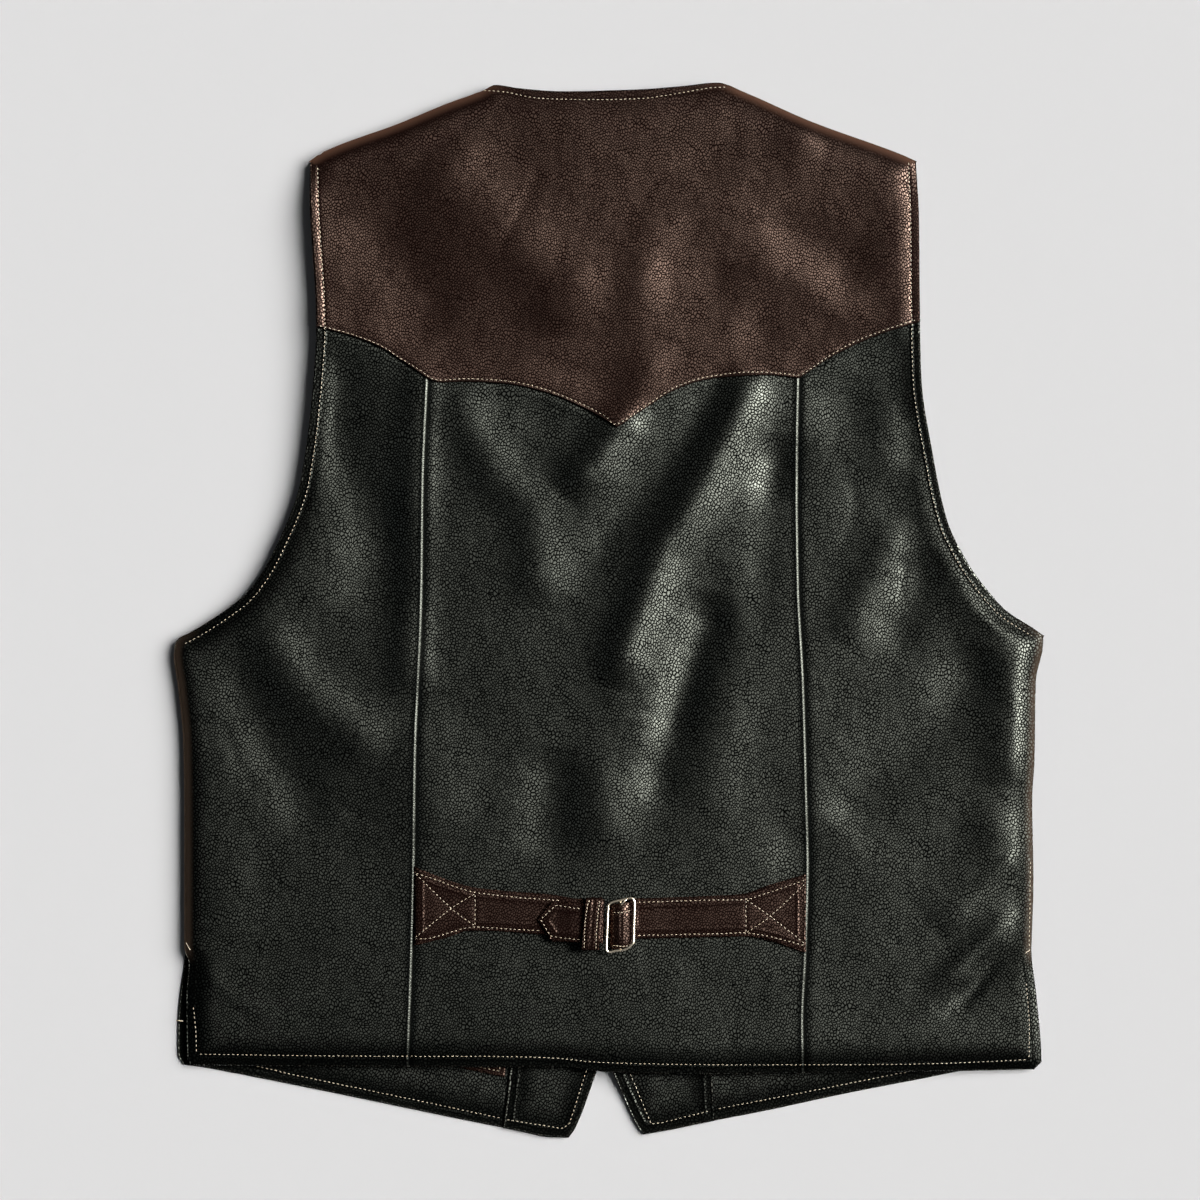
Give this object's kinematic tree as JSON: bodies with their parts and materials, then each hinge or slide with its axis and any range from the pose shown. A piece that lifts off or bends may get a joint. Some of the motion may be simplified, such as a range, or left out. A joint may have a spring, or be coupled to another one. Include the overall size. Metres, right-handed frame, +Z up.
{
  "type": "leather vest",
  "caption": "Western leather vest laid flat face down: scalloped yoke, panelled back, buckled back belt, side vents and pointed fronts.",
  "frame": {"origin": "under the middle of the vest's box, on the surface it lies on", "axes": "+Y from the hem to the neck, +X towards the wearer's right side, +Z up out of the back"},
  "size_m": [0.5601, 0.6801, 0.019],
  "materials": {
    "black_leather": "pebbled black cowhide, soft sheen",
    "brown_leather": "fine grained dark brown leather, soft sheen",
    "buckle_metal": "polished warm nickel wire",
    "snap_metal": "aged brass",
    "thread": "cream and tan polyester thread"
  },
  "bodies": {
    "root": {"back_yoke": "brown_leather", "centre_back": "black_leather", "side_back_left": "black_leather", "side_back_right": "black_leather", "front_left": "black_leather", "front_right": "black_leather", "facing_left": "black_leather", "facing_right": "black_leather", "inner_pocket": "brown_leather", "belt_strap_left": "brown_leather", "belt_strap_right": "brown_leather", "belt_tongue": "brown_leather", "belt_keeper": "brown_leather", "buckle_tab": "brown_leather", "buckle_frame": "buckle_metal", "snap_1": "snap_metal", "snap_2": "snap_metal", "snap_3": "snap_metal", "snap_4": "snap_metal", "snap_5": "snap_metal"}
  },
  "joints": []
}
